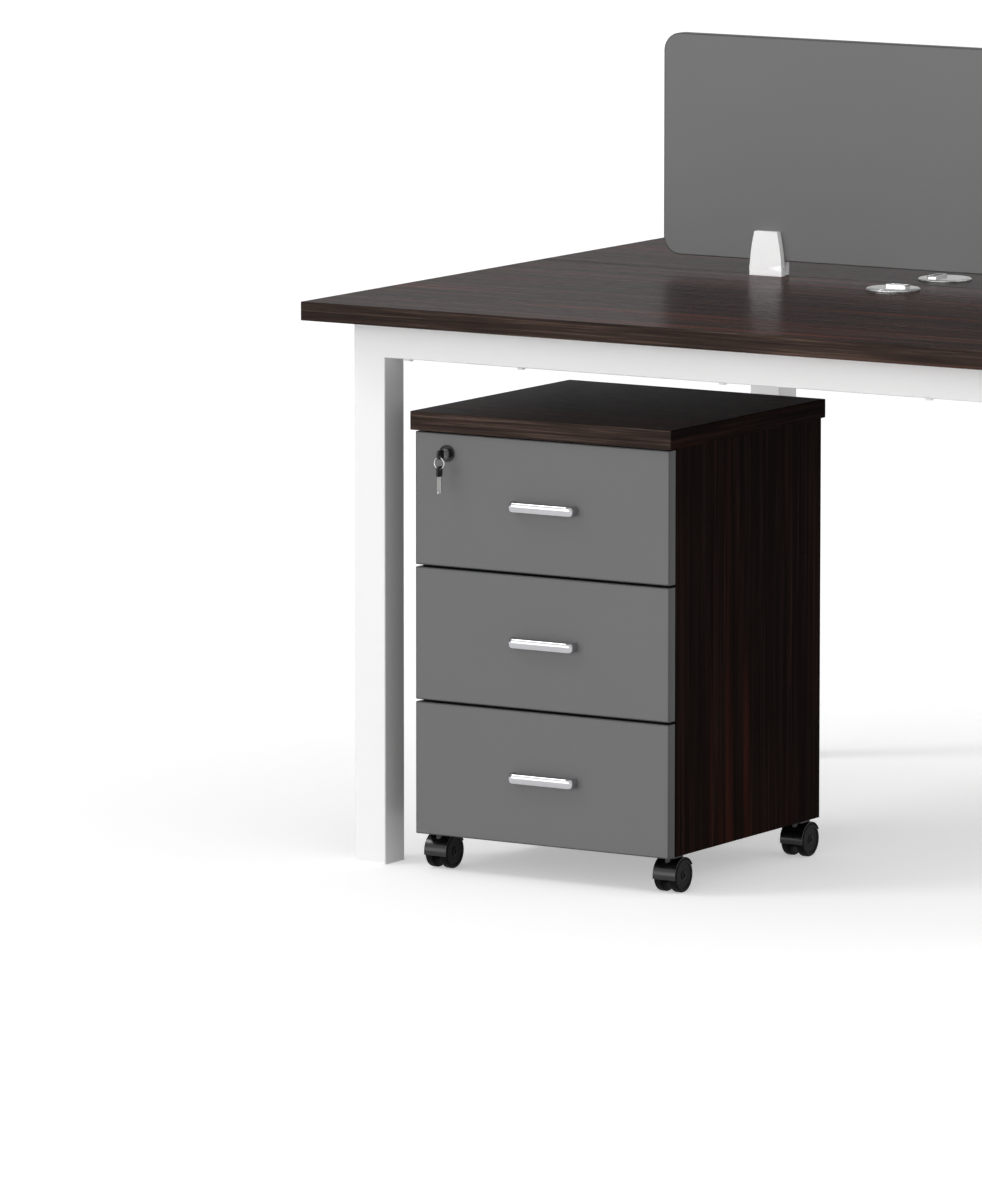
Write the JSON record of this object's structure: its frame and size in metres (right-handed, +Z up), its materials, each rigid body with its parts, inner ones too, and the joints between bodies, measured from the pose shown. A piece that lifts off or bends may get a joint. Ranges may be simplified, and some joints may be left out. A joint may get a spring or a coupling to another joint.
{
  "type": "cubicle workstation",
  "caption": "Face-to-face office workstation: dark wood worktops on a white steel frame, grey divider screen on clips, cable grommets and a lockable mobile drawer pedestal on castors.",
  "frame": {"origin": "on the floor under the middle of the workstation", "axes": "+X to the right along the front user's edge, +Y from the front user to the rear user, +Z up"},
  "size_m": [1.2, 1.2, 1.07],
  "materials": {
    "dark_wood_board": "dark wood-grain laminate, satin",
    "white_powder_coat": "white powder coat, semi-gloss",
    "steel": "zinc plated",
    "white_plastic": "moulded, satin",
    "grey_board": "plain grey laminate, matt",
    "silver_plastic": "silver lacquered",
    "grey_steel_sheet": "light grey powder coat",
    "chrome": "polished",
    "black_plastic": "moulded, satin"
  },
  "bodies": {
    "workstation": {"worktop_front": "dark_wood_board", "worktop_rear": "dark_wood_board", "leg_front_left": "white_powder_coat", "leg_front_right": "white_powder_coat", "leg_rear_left": "white_powder_coat", "leg_rear_right": "white_powder_coat", "rail_front": "white_powder_coat", "rail_rear": "white_powder_coat", "cross_rail_left": "white_powder_coat", "cross_rail_right": "white_powder_coat", "centre_beam": "white_powder_coat", "rail_connectors": "steel", "connector_screws": "steel", "worktop_screws": "steel", "leg_end_caps": "white_plastic", "screen_panel": "grey_board", "clip_body_left": "white_plastic", "clip_body_right": "white_plastic", "clip_jaw_left": "white_plastic", "clip_jaw_right": "white_plastic", "clip_screws": "white_plastic", "grommet_liner_front": "silver_plastic", "grommet_liner_rear": "silver_plastic"},
    "pedestal": {"pedestal_top": "dark_wood_board", "pedestal_side_left": "dark_wood_board", "pedestal_side_right": "dark_wood_board", "pedestal_back": "dark_wood_board", "pedestal_base": "dark_wood_board", "lock_rail": "steel", "carcass_runners": "steel", "castor_plates": "steel"},
    "drawer_upper": {"drawer_front_upper": "grey_board", "drawer_box_upper": "grey_steel_sheet", "drawer_runners_upper": "steel", "handle_upper": "chrome", "lock_barrel": "black_plastic"},
    "drawer_middle": {"drawer_front_middle": "grey_board", "drawer_box_middle": "grey_steel_sheet", "drawer_runners_middle": "steel", "handle_middle": "chrome"},
    "drawer_lower": {"drawer_front_lower": "grey_board", "drawer_box_lower": "grey_steel_sheet", "drawer_runners_lower": "steel", "handle_lower": "chrome"},
    "lock": {"lock_plug": "steel", "lock_cam": "steel"},
    "key": {"lock_key": "black_plastic"},
    "ring": {"key_ring": "steel"},
    "hanging_key": {"spare_key": "black_plastic"},
    "cap_front": {"grommet_cap_front": "silver_plastic"},
    "cap_rear": {"grommet_cap_rear": "silver_plastic"},
    "castor_front_left": {"castor_hood_front_left": "black_plastic"},
    "wheels_front_left": {"castor_wheels_front_left": "black_plastic"},
    "castor_front_right": {"castor_hood_front_right": "black_plastic"},
    "wheels_front_right": {"castor_wheels_front_right": "black_plastic"},
    "castor_rear_left": {"castor_hood_rear_left": "black_plastic"},
    "wheels_rear_left": {"castor_wheels_rear_left": "black_plastic"},
    "castor_rear_right": {"castor_hood_rear_right": "black_plastic"},
    "wheels_rear_right": {"castor_wheels_rear_right": "black_plastic"}
  },
  "joints": [
    {"name": "pedestal_roll", "type": "slide", "parent": "workstation", "child": "pedestal", "axis": [0, -1, 0], "range_m": [0, 0.6]},
    {"name": "drawer_upper_slide", "type": "slide", "parent": "pedestal", "child": "drawer_upper", "axis": [0, -1, 0], "range_m": [0, 0.27]},
    {"name": "drawer_middle_slide", "type": "slide", "parent": "pedestal", "child": "drawer_middle", "axis": [0, -1, 0], "range_m": [0, 0.27]},
    {"name": "drawer_lower_slide", "type": "slide", "parent": "pedestal", "child": "drawer_lower", "axis": [0, -1, 0], "range_m": [0, 0.27]},
    {"name": "lock_turn", "type": "hinge", "parent": "drawer_upper", "child": "lock", "pos_m": [-0.401, -0.555, 0.558], "axis": [0, -1, 0], "range_deg": [0, 90]},
    {"name": "key_pull", "type": "slide", "parent": "lock", "child": "key", "axis": [0, -1, 0], "range_m": [0, 0.03]},
    {"name": "ring_swing", "type": "hinge", "parent": "key", "child": "ring", "pos_m": [-0.401, -0.5745, 0.5545], "axis": [1, 0, 0], "range_deg": [-60, 12]},
    {"name": "hanging_key_swing", "type": "hinge", "parent": "ring", "child": "hanging_key", "pos_m": [-0.401, -0.5745, 0.547], "axis": [0, -1, 0], "range_deg": [-90, 0]},
    {"name": "cap_front_turn", "type": "hinge", "parent": "workstation", "child": "cap_front", "pos_m": [-0.008, -0.07, 0.75], "axis": [0, 0, 1], "continuous": true},
    {"name": "cap_rear_turn", "type": "hinge", "parent": "workstation", "child": "cap_rear", "pos_m": [-0.008, 0.07, 0.75], "axis": [0, 0, 1], "continuous": true},
    {"name": "castor_front_left_swivel", "type": "hinge", "parent": "pedestal", "child": "castor_front_left", "pos_m": [-0.432, -0.525, 0.05], "axis": [0, 0, 1], "continuous": true},
    {"name": "castor_front_left_roll", "type": "hinge", "parent": "castor_front_left", "child": "wheels_front_left", "pos_m": [-0.432, -0.513, 0.0225], "axis": [1, 0, 0], "continuous": true},
    {"name": "castor_front_right_swivel", "type": "hinge", "parent": "pedestal", "child": "castor_front_right", "pos_m": [-0.08, -0.525, 0.05], "axis": [0, 0, 1], "continuous": true},
    {"name": "castor_front_right_roll", "type": "hinge", "parent": "castor_front_right", "child": "wheels_front_right", "pos_m": [-0.08, -0.513, 0.0225], "axis": [1, 0, 0], "continuous": true},
    {"name": "castor_rear_left_swivel", "type": "hinge", "parent": "pedestal", "child": "castor_rear_left", "pos_m": [-0.432, -0.197, 0.05], "axis": [0, 0, 1], "continuous": true},
    {"name": "castor_rear_left_roll", "type": "hinge", "parent": "castor_rear_left", "child": "wheels_rear_left", "pos_m": [-0.432, -0.185, 0.0225], "axis": [1, 0, 0], "continuous": true},
    {"name": "castor_rear_right_swivel", "type": "hinge", "parent": "pedestal", "child": "castor_rear_right", "pos_m": [-0.08, -0.197, 0.05], "axis": [0, 0, 1], "continuous": true},
    {"name": "castor_rear_right_roll", "type": "hinge", "parent": "castor_rear_right", "child": "wheels_rear_right", "pos_m": [-0.08, -0.185, 0.0225], "axis": [1, 0, 0], "continuous": true}
  ],
  "couplings": [
    {"joint": "hanging_key_swing", "follows": "lock_turn", "ratio": -1}
  ]
}
